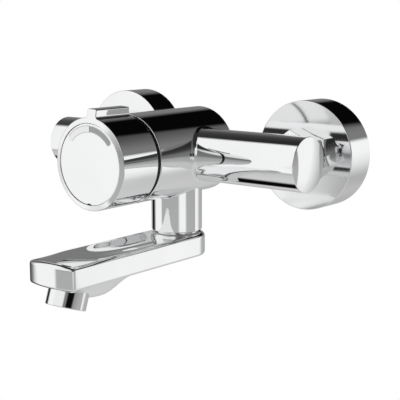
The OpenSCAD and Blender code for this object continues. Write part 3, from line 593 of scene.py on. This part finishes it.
def buildSleeve(form):
    piece = startPiece()
    capR = max(capHigh.x - capLow.x, capHigh.z - capLow.z) / 2
    capHole = capR + form["capGap"]
    front, back = sleeveLow.y, sleeveHigh.y
    ringY, edge = front + form["ringDrop"], form["edge"]
    foot, tip, draft = form["foot"], form["leverRound"], math.radians(form["leverDraft"])
    top = bodyR + form["leverRise"]
    # the flank leans in by the draft; the foot is a round between flank and rim
    cosD, sinD = math.cos(draft), math.sin(draft)
    flankAt = form["leverHalf"] * cosD + top * sinD
    along = math.sqrt((bodyR + foot) ** 2 - (flankAt + foot) ** 2)
    footX, footZ = (flankAt + foot) * cosD - along * sinD, (flankAt + foot) * sinD + along * cosD
    footAngle = math.atan2(footX, footZ)
    flankAngle = math.pi / 2 - draft
    tipZ = top - tip
    tipX = (flankAt - tip - tipZ * sinD) / cosD
    ringSlope = math.atan2(form["ringDrop"], bodyR - edge - capHole)
    cosT, sinT = math.cos(restTurn), math.sin(restTurn)

    def turned(x, y, z):
        return (x * cosT + z * sinT, y, axisZ - x * sinT + z * cosT)

    # outline stretches give x, z, the outward normal and how far the ring's cone reaches into them
    def rim(t):
        a = footAngle + (2 * math.pi - 2 * footAngle) * t
        return bodyR * math.sin(a), bodyR * math.cos(a), math.sin(a), math.cos(a), 1.0

    def footArc(t):
        a = footAngle + (flankAngle - footAngle) * t
        nx, nz = math.sin(a), math.cos(a)
        return foot * nx - footX, footZ - foot * nz, -nx, nz, 1 - t

    def flank(t):
        x0, z0 = footX - foot * cosD, footZ - foot * sinD
        x1, z1 = tipX + tip * cosD, tipZ + tip * sinD
        return -x0 - (x1 - x0) * t, z0 + (z1 - z0) * t, -cosD, sinD, 0.0

    def tipArc(t):
        a = flankAngle * (1 - t)
        return -tipX - tip * math.sin(a), tipZ + tip * math.cos(a), -math.sin(a), math.cos(a), 0.0

    def crest(t):
        return tipX * (2 * t - 1), top, 0.0, 1.0, 0.0

    def otherSide(place):
        def at(t):
            x, z, nx, nz, share = place(t)
            return -x, z, -nx, nz, share
        return at

    leverSide = ((footArc, form["footSteps"]), (flank, form["flankSteps"]), (tipArc, form["tipSteps"]))
    outline = [(rim, form["aroundSteps"]), (crest, form["leverSteps"])]
    outline += leverSide
    outline += [(otherSide(place), steps) for place, steps in leverSide]

    # rounded edges: how far the skin is drawn in, and its y, with v from 0 to 1
    def frontEdge(share, v):
        a = math.pi + (math.pi / 2 - ringSlope * share) * v
        return edge + edge * math.cos(a), ringY + edge + edge * math.sin(a)

    def rearEdge(share, v):
        a = math.pi - math.pi / 2 * v
        return edge + edge * math.cos(a), back - edge + edge * math.sin(a)

    def plainSkin(share, v):
        return 0.0, back - edge + (ringY + 2 * edge - back) * v

    # the lever leans back at the front and starts a little ahead of the handle's rear
    slant = math.tan(math.radians(form["leverSlant"]))
    footStart = footArc(0)[1]

    def leant(x, z, frontShare):
        if z < footStart or abs(x) > footX:
            return 0.0
        rise = z - footStart
        return slant * rise * frontShare - min(form["leverBack"], rise) * (1 - frontShare)

    frontShares = {rearEdge: lambda v: 0.0, plainSkin: lambda v: v, frontEdge: lambda v: 1.0}
    skins = ((rearEdge, form["edgeRows"]), (plainSkin, form["skinRows"]), (frontEdge, form["edgeRows"]))
    for place, steps in outline:
        for skin, rows in skins:
            def onSkin(u, v, place=place, skin=skin):
                x, z, nx, nz, share = place(u)
                inset, y = skin(share, v)
                return turned(x - nx * inset, y + leant(x, z, frontShares[skin](v)), z - nz * inset)
            layPatch(piece, steps, rows, onSkin)

    # flat ends of the lever, from the ring up to the crest
    for skin in (frontEdge, rearEdge):
        def drawnIn(place, t, skin=skin):
            x, z, nx, nz, share = place(t)
            inset, y = skin(share, 1.0)
            return x - nx * inset, y + leant(x, z, frontShares[skin](1.0)), z - nz * inset
        startX, _, startZ = drawnIn(footArc, 0.0)
        endZ = drawnIn(footArc, 1.0)[2]
        startR = math.hypot(startX, startZ)
        for place, steps in leverSide:
            def onLeverEnd(u, v):
                x, y, z = drawnIn(place, v)
                side = 1 - 2 * u
                bulge = math.sqrt(startR ** 2 - (startX * side) ** 2) - startZ
                return turned(x * side, y, z + bulge * max(0.0, (endZ - z) / (endZ - startZ)))
            layPatch(piece, form["leverSteps"], steps, onLeverEnd)

    # ring face with the seat of the cover, and the hollow rear
    ringInset, ringStart = frontEdge(1.0, 1.0)
    seatY, ledgeR = front + form["capSeat"], capHole - form["ledge"]
    cavityEnd, rearEnd = seatY + form["cavity"], back - form["rearDepth"]
    rearBore, inner = bodyR - form["wall"], form["innerRound"]
    faces = roundedPath([
        (bodyR - ringInset, ringStart, 0), (capHole, front, form["lipRound"]), (capHole, seatY, form["seatRound"]),
        (ledgeR, seatY, form["seatRound"]), (ledgeR, cavityEnd, inner), (0, cavityEnd, 0),
    ])
    faces += roundedPath([
        (bodyR - edge, back, 0), (rearBore, back, inner), (rearBore, rearEnd, inner), (0, rearEnd, 0),
    ])
    sectors = (
        (-footAngle, footAngle, form["leverSteps"]), (footAngle, 2 * math.pi - footAngle, form["aroundSteps"]),
    )
    for start, end, steps in sectors:
        for stretch, rows in faces:
            def onFace(u, v, start=start, end=end, stretch=stretch):
                a = start + (end - start) * u
                r, y = stretch(v)
                return turned(r * math.sin(a), y, r * math.cos(a))
            layPatch(piece, steps, rows, onFace)
    return finishPatches(piece, "handleShell", chrome, "push_handle", "chrome", "handle_sleeve")


buildSleeve(sleeveForm)

# spout: dished top, straight sides with soft edges, bowed front, bellied underside
spoutForm = {
    "corner": 2.6 * mm, "topRound": 2.7 * mm, "lowRound": 1.8 * mm, "thickness": 14.4 * mm, "bow": 54.0 * mm,
    "bowRun": 40.0 * mm, "dish": 2.2 * mm, "dishMid": -86.0 * mm, "dishLong": 60.0 * mm, "dishLip": 0.11,
    "dishBack": 8.0 * mm, "crown": 1.3 * mm, "crownFrom": -137.0 * mm, "crownRun": 20.0 * mm,
    "crownRise": 0.3, "belly": 12.0 * mm, "bellyStart": 3.8 * mm, "bellyFull": 37.0 * mm, "bellyEnd": 62.5 * mm,
    "bellyAcross": 2.3, "bellyAhead": 0.9, "across": 28, "backSteps": 24, "straightSteps": 44,
    "cornerSteps": 6, "roundRows": 6, "wallRows": 3,
}


def smooth(t):
    t = max(0.0, min(1.0, t))
    return t * t * t * (t * (6 * t - 15) + 10)


def buildSpout(form):
    piece = startPiece()
    half = (spoutHigh.x - spoutLow.x) / 2
    frontY, topZ = spoutLow.y, spoutHigh.z
    lowZ = topZ - form["thickness"]
    corner, bow = form["corner"], form["bow"]
    bowMid = frontY + bow
    bowAngle = math.asin((half - corner) / (bow - corner))
    cornerY = bowMid - (bow - corner) * math.cos(bowAngle)

    # right half of the plan from the back pole to the bowed front, drawn in by inset
    def backArc(t, inset):
        a = math.pi / 2 * (1 - t)
        r = half - inset
        return r * math.cos(a), armY + r * math.sin(a)

    def straight(t, inset):
        return half - inset, armY + (cornerY - armY) * t

    def cornerArc(t, inset):
        a = (bowAngle - math.pi / 2) * t
        r = corner - inset
        return half - corner + r * math.cos(a), cornerY + r * math.sin(a)

    sideStretches = (
        (backArc, form["backSteps"]), (straight, form["straightSteps"]), (cornerArc, form["cornerSteps"]),
    )

    # rows across the spout curve forwards as they near the bowed front
    def bowed(x, w, y, inset):
        reach = bow - inset
        end = reach * math.sin(bowAngle)
        x0 = end * x / w if w > 0 else 0.0
        share = smooth((cornerY + form["bowRun"] - y) / form["bowRun"])
        return y - share * (math.sqrt(reach ** 2 - x0 ** 2) - math.sqrt(reach ** 2 - end ** 2))

    # a long hollow ahead of the neck that runs out into a slight crown at the front
    def dishDepth(x, y):
        wide = (x / half) ** 2
        run = 1 - ((y - form["dishMid"]) / form["dishLong"]) ** 2
        run = form["dishLip"] * math.log1p(math.exp(run / form["dishLip"]))
        run *= smooth((armY + form["dishBack"] - y) / (2 * form["dishBack"]))
        crown = form["crown"] * smooth((form["crownFrom"] - y) / form["crownRun"])
        return form["dish"] * run * (1 - wide) ** 2 + crown * (wide - form["crownRise"])

    def bellyDepth(x, y):
        across = max(0.0, 1 - abs(x / (half - form["lowRound"])) ** form["bellyAcross"])
        rise = (y - frontY - form["bellyStart"]) / (form["bellyFull"] - form["bellyStart"])
        ahead = math.sin(math.pi / 2 * max(0.0, min(1.0, rise))) ** form["bellyAhead"]
        behind = smooth((frontY + form["bellyEnd"] - y) / (form["bellyEnd"] - form["bellyFull"]))
        return form["belly"] * across * ahead * behind

    for stretch, steps in sideStretches:
        def onTop(u, v, stretch=stretch):
            w, y0 = stretch(v, form["topRound"])
            x = w * (2 * u - 1)
            y = bowed(x, w, y0, form["topRound"])
            return (x, y, topZ - dishDepth(x, y))

        def onUnder(u, v, stretch=stretch):
            w, y0 = stretch(v, form["lowRound"])
            x = w * math.sin(math.pi / 2 * (2 * u - 1))
            y = bowed(x, w, y0, form["lowRound"])
            return (x, y, lowZ - bellyDepth(x, y))
        layPatch(piece, form["across"], steps, onTop)
        layPatch(piece, form["across"], steps, onUnder)

    topR, lowR = form["topRound"], form["lowRound"]
    wall = [
        (arcStretch((topR, topZ - topR), topR, math.pi / 2, math.pi / 2), form["roundRows"]),
        (lineStretch((0, topZ - topR), (0, lowZ + lowR)), form["wallRows"]),
        (arcStretch((lowR, lowZ + lowR), lowR, math.pi, math.pi / 2), form["roundRows"]),
    ]

    # the top round follows the dish and crown at its upper end
    def eased(x, y, v, band):
        return dishDepth(x, y) * (1 - smooth(v)) if band is wall[0][0] else 0.0

    for band, rows in wall:
        for sign in (-1, 1):
            for stretch, steps in sideStretches:
                def onSide(u, v, stretch=stretch, sign=sign, band=band):
                    inset, z = band(v)
                    x, y = stretch(u, inset)
                    return (sign * x, y, z - eased(x, y, v, band))
                layPatch(piece, steps, rows, onSide)

        def onFront(u, v, band=band):
            inset, z = band(v)
            spread = 2 * u - 1 if band is wall[0][0] else math.sin(math.pi / 2 * (2 * u - 1))
            x = (bow - inset) * math.sin(bowAngle) * spread
            y = bowMid - math.sqrt((bow - inset) ** 2 - x ** 2)
            return (x, y, z - eased(x, y, v, band))
        layPatch(piece, form["across"], rows, onFront)
    return finishPatches(piece, "spoutShell", chrome, "spout", "chrome", "spout_body")


buildSpout(spoutForm)

# raised seat on the spout under the neck
seatForm = {
    "radius": 16.0 * mm, "hole": 10.6 * mm, "sink": 6.0 * mm, "edge": 0.5 * mm, "lip": 0.2 * mm, "steps": 96,
}
seatR, seatHole, seatFoot = seatForm["radius"], seatForm["hole"], -seatForm["sink"]
bm = bmesh.new()
spinProfile(bm, [
    (seatHole, seatFoot, 0), (seatR, seatFoot, 0), (seatR, 0.0, seatForm["edge"]),
    (seatHole, 0.0, seatForm["lip"]), (seatHole, seatFoot, 0),
], seatForm["steps"], Matrix.Translation((0, armY, spoutHigh.z)))
finishSpun(bm, "spoutSeat", chrome, "spout", "chrome")

# aerator collar: turned about the tilted outlet axis
collarForm = {
    "tilt": 19.0, "ahead": 13.9 * mm, "below": 14.0 * mm, "radius": 12.0 * mm, "bore": 9.5 * mm,
    "length": 12.0 * mm, "edge": 0.5 * mm, "thread": 10.9 * mm, "top": 16.5 * mm, "rim": 1.0 * mm,
    "stop": 14.0 * mm, "stopBore": 8.4 * mm, "fine": 0.2 * mm, "threadEdge": 0.3 * mm, "steps": 96,
}
collarPlace = Matrix.Translation((
    0, spoutLow.y + collarForm["ahead"], spoutHigh.z - spoutForm["thickness"] - collarForm["below"],
)) @ Matrix.Rotation(math.radians(-collarForm["tilt"]), 4, "X")


def buildCollar(form):
    radius, bore, thread, stopBore = form["radius"], form["bore"], form["thread"], form["stopBore"]
    fine, edge, rim = form["fine"], form["edge"], bore + form["rim"]
    bm = bmesh.new()
    spinProfile(bm, [
        (rim, 0, 0), (radius, 0, edge), (radius, form["length"], fine), (thread, form["length"], fine),
        (thread, form["top"], form["threadEdge"]), (stopBore, form["top"], fine), (stopBore, form["stop"], fine),
        (bore, form["stop"], fine), (bore, 0, edge), (rim, 0, 0),
    ], form["steps"], collarPlace)
    return finishSpun(bm, "aeratorCollar", chrome, "spout", "chrome", "aerator_housing")


buildCollar(collarForm)
print("pieces made")


# studio: white for the camera, panels and dark cards for the plating to mirror
def studioWorld():
    world = bpy.data.worlds.new("studio")
    bpy.context.scene.world = world
    world.use_nodes = True
    nodes, links = world.node_tree.nodes, world.node_tree.links
    nodes.clear()

    def maths(kind, a, b=None, clamp=False):
        node = nodes.new("ShaderNodeMath")
        node.operation = kind
        node.use_clamp = clamp
        for socket, value in zip(node.inputs, (a, b)):
            if value is None:
                continue
            if isinstance(value, (int, float)):
                socket.default_value = value
            else:
                links.new(value, socket)
        return node.outputs[0]

    coords = nodes.new("ShaderNodeTexCoord")
    split = nodes.new("ShaderNodeSeparateXYZ")
    links.new(coords.outputs["Generated"], split.inputs[0])
    east, north, up = split.outputs
    azimuth = maths("MULTIPLY", maths("ARCTAN2", east, maths("MULTIPLY", north, -1)), 180 / math.pi)
    roundBack = maths("ADD", azimuth, maths("MULTIPLY", maths("LESS_THAN", azimuth, 0.0), 360.0))
    height = maths("MULTIPLY", maths("ARCSINE", up), 180 / math.pi)

    def edge(value, at, soft):
        return maths("ADD", maths("DIVIDE", maths("SUBTRACT", value, at), soft), 0.5, clamp=True)

    def leaning(value, lean):
        return maths("SUBTRACT", value, maths("MULTIPLY", height, lean))

    def laid(under, level, left, right, foot, top):
        across = roundBack if right[0] > 180 else azimuth  # a panel that passes the back
        mask = maths("MULTIPLY", edge(leaning(across, left[2]), *left[:2]), edge(height, *foot))
        for value, side in ((leaning(across, right[2]), right), (height, top)):
            mask = maths("MULTIPLY", mask, maths("SUBTRACT", 1.0, edge(value, *side[:2])))
        kept = maths("MULTIPLY", under, maths("SUBTRACT", 1.0, mask))
        return maths("ADD", kept, maths("MULTIPLY", mask, level))

    # pale ground, dark sky
    fade = nodes.new("ShaderNodeValToRGB")
    stops = fade.color_ramp.elements
    while len(stops) < len(studioFade):
        stops.new(0.5)
    for stop, (at, shade) in zip(stops, studioFade):
        stop.position = (at + 90) / 180
        stop.color = (shade, shade, shade, 1)
    links.new(maths("DIVIDE", maths("ADD", height, 90.0), 180.0), fade.inputs["Fac"])
    level = fade.outputs["Color"]
    for panel in studioPanels:
        level = laid(level, *panel)

    paths = nodes.new("ShaderNodeLightPath")
    shown = nodes.new("ShaderNodeMix")
    shown.data_type = "FLOAT"
    links.new(paths.outputs["Is Camera Ray"], shown.inputs["Factor"])
    links.new(level, shown.inputs[2])
    shown.inputs[3].default_value = 1.0
    background = nodes.new("ShaderNodeBackground")
    background.inputs["Color"].default_value = (1, 1, 1, 1)
    links.new(shown.outputs[0], background.inputs["Strength"])
    output = nodes.new("ShaderNodeOutputWorld")
    links.new(background.outputs[0], output.inputs["Surface"])


# shade by height in degrees, from the ground up to the ceiling
studioFade = [
    (-90, 0.50), (-50, 0.67), (-35, 0.60), (-28, 0.48), (-20, 0.47), (-10, 0.45),
    (0, 0.32), (6, 0.21), (20, 0.21), (40, 0.065), (55, 0.025), (90, 0.028),
]

# each panel: level, left edge, right edge, lower edge, upper edge
# an edge is its place in degrees (0 is the front, right is positive), its softness, and its lean with height
studioPanels = [
    (1.00, (-74.2, 12, -0.15), (-31.3, 4, 0.1), (-27.7, 4), (59, 6)),
    (0.002, (-99, 9, 0.44), (-77.9, 13.6, 0.05), (-63, 9), (6, 6)),
    (0.93, (-33, 1, -0.06), (28, 8, 0.0), (6.2, 14), (42, 6)),
    (1.00, (51, 9, 0.09), (81, 8.5, -0.11), (-14.6, 6), (-6, 6)),
    (1.00, (131, 1, -0.17), (160, 20, 0.37), (-28.6, 28), (12.4, 3.3)),
    (0.004, (46, 3.3, -0.16), (80.6, 5.4, 0.12), (0.6, 4.2), (14, 8)),
    (0.002, (165.4, 6, -0.07), (209.5, 7, 0.02), (15.3, 10), (63.6, 8)),
]
studioWorld()

# pale floor well below the tap, seen by the camera alone
floorForm = {
    "depth": -0.9, "radius": 1.3, "segments": 96, "glow": 0.74, "rough": 0.8,
    "low": (0.84, 0.84, 0.84), "high": (0.88, 0.88, 0.88), "speck": 6.0,
}


def floorFinish(form):
    mat, nodes, links, shader = newMaterial("paleFloor")
    shader.inputs["Roughness"].default_value = form["rough"]
    shader.inputs["Emission Color"].default_value = (1, 1, 1, 1)
    shader.inputs["Emission Strength"].default_value = form["glow"]
    speck = noiseOn(nodes, links, form["speck"])
    links.new(rampOf(nodes, links, speck, form["low"], form["high"]), shader.inputs["Base Color"])
    paths = nodes.new("ShaderNodeLightPath")
    clear = nodes.new("ShaderNodeBsdfTransparent")
    mix = nodes.new("ShaderNodeMixShader")
    links.new(paths.outputs["Is Camera Ray"], mix.inputs[0])
    links.new(clear.outputs[0], mix.inputs[1])
    links.new(shader.outputs[0], mix.inputs[2])
    links.new(mix.outputs[0], nodes["Material Output"].inputs["Surface"])
    return mat


bm = bmesh.new()
bmesh.ops.create_circle(bm, cap_ends=True, segments=floorForm["segments"], radius=floorForm["radius"])
bmesh.ops.translate(bm, verts=bm.verts, vec=(0, 0, floorForm["depth"]))
floorMesh = bpy.data.meshes.new("floor")
bm.to_mesh(floorMesh)
bm.free()
floorObj = bpy.data.objects.new("floor", floorMesh)
bpy.context.scene.collection.objects.link(floorObj)
floorMesh.materials.append(floorFinish(floorForm))

# camera at the photograph's angle
cameraForm = {
    "place": (405.76 * mm, -536.75 * mm, 80.28 * mm), "yaw": 38.79, "pitch": -10.1, "lens": 88.71, "sensor": 36.0,
}
cameraData = bpy.data.cameras.new("camera")
cameraData.sensor_width = cameraForm["sensor"]
cameraData.lens = cameraForm["lens"]
cameraObj = bpy.data.objects.new("camera", cameraData)
bpy.context.scene.collection.objects.link(cameraObj)
yaw, pitch = math.radians(cameraForm["yaw"]), math.radians(cameraForm["pitch"])
ahead = Vector((-math.sin(yaw) * math.cos(pitch), math.cos(yaw) * math.cos(pitch), math.sin(pitch)))
cameraObj.location = Vector(cameraForm["place"]) + Vector((0, 0, axisZ))
cameraObj.rotation_euler = ahead.to_track_quat("-Z", "Y").to_euler()
bpy.context.scene.camera = cameraObj
bpy.context.scene.view_settings.view_transform = "Standard"
print("studio and camera set")
